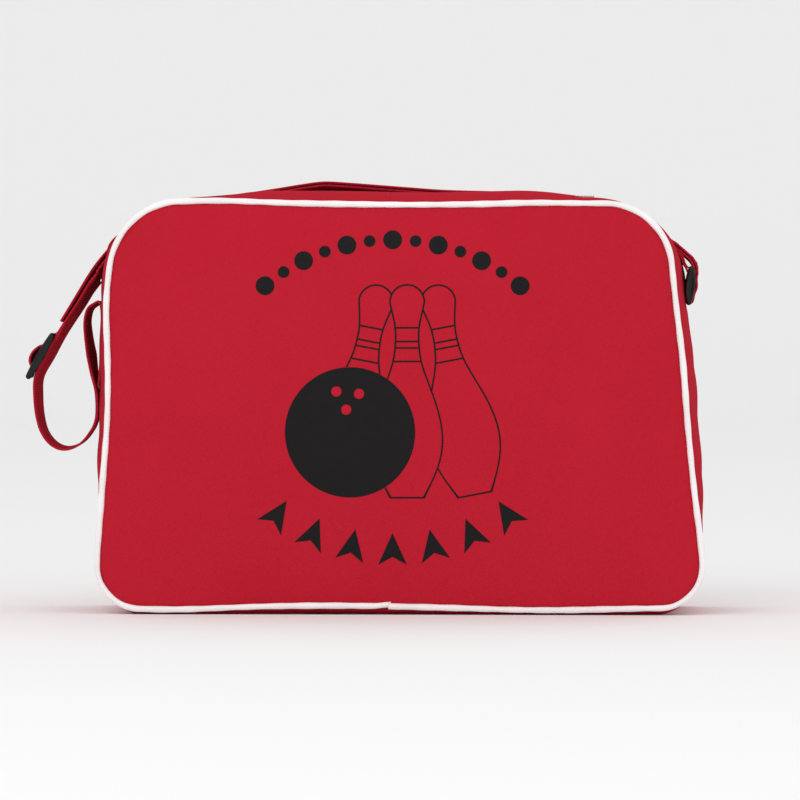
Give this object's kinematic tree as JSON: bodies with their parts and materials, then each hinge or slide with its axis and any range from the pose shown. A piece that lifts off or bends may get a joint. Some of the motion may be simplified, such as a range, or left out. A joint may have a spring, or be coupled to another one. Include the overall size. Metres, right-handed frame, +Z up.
{
  "type": "bowling bag",
  "caption": "Soft zip-topped shoulder bag with contrast piping, a printed front panel and an adjustable webbing strap.",
  "frame": {"origin": "on the floor, under the middle of the flat base", "axes": "+X to the right as the printed front is seen, +Y from the printed front to the rear, +Z up"},
  "size_m": [0.4571, 0.1218, 0.2868],
  "materials": {
    "woven_polyester": "close woven polyester, matt with a faint sheen",
    "webbing": "ribbed polypropylene webbing",
    "piping": "white vinyl piping, satin",
    "binding_tape": "woven binding tape",
    "lining_cloth": "thin plain-weave nylon lining",
    "transfer_print": "black heat-transfer film, low gloss",
    "base_board": "grained polyethylene board",
    "zip_tape": "herringbone zip tape",
    "zip_chain": "nylon coil",
    "zip_metal": "nickel-plated zinc",
    "acetal": "moulded black acetal, glossy"
  },
  "bodies": {
    "root": {"gusset_bottom": "woven_polyester", "gusset_left": "woven_polyester", "gusset_right": "woven_polyester", "front_panel": "woven_polyester", "rear_panel": "woven_polyester", "front_piping": "piping", "rear_piping": "piping", "front_seam_binding": "binding_tape", "rear_seam_binding": "binding_tape", "front_lining": "lining_cloth", "rear_lining": "lining_cloth", "inner_pocket": "lining_cloth", "print_ball": "transfer_print", "print_pins": "transfer_print", "print_dots": "transfer_print", "print_arrows": "transfer_print", "base_board": "base_board", "zip_end_left": "zip_tape", "zip_end_right": "zip_tape", "zip_closed_stops": "zip_metal", "zip_open_stop": "zip_metal", "strap_anchor_left": "webbing", "strap_loop": "webbing", "strap_outer_left": "webbing", "strap_corner_left": "webbing", "strap_corner_right": "webbing", "strap_fall_right": "webbing", "strap_ring_tab": "webbing"},
    "front_lip": {"top_strip_front": "woven_polyester", "zip_tape_front": "zip_tape", "zip_teeth_front": "zip_chain"},
    "rear_lip": {"top_strip_rear": "woven_polyester", "zip_tape_rear": "zip_tape", "zip_teeth_rear": "zip_chain", "strap_top": "webbing"},
    "zip_slider": {"zip_slider": "zip_metal"},
    "zip_puller": {"zip_puller": "zip_metal"},
    "ring": {"strap_ring": "acetal", "strap_ring_wrap": "webbing"},
    "triglide": {"strap_triglide": "acetal", "strap_sewn_end": "webbing"}
  },
  "joints": [
    {"name": "front_lip_open", "type": "hinge", "parent": "root", "child": "front_lip", "pos_m": [0, -0.052, 0.272], "axis": [1, 0, 0], "range_deg": [0, 80]},
    {"name": "rear_lip_open", "type": "hinge", "parent": "root", "child": "rear_lip", "pos_m": [0, 0.052, 0.272], "axis": [-1, 0, 0], "range_deg": [0, 80]},
    {"name": "zip_slide", "type": "slide", "parent": "root", "child": "zip_slider", "axis": [-1, 0, 0], "range_m": [0, 0.2227]},
    {"name": "puller_flip", "type": "hinge", "parent": "zip_slider", "child": "zip_puller", "pos_m": [0.10435, 0, 0.2784], "axis": [0, -1, 0], "range_deg": [0, 178]},
    {"name": "ring_swing", "type": "hinge", "parent": "root", "child": "ring", "pos_m": [0.1936, 0, 0.22645], "axis": [0, -1, 0], "range_deg": [0, 45], "deforming": ["strap_fall_right"]},
    {"name": "triglide_slide", "type": "slide", "parent": "root", "child": "triglide", "axis": [0.5, 0, 0.866], "range_m": [0, 0.02], "deforming": ["strap_outer_left"]}
  ]
}
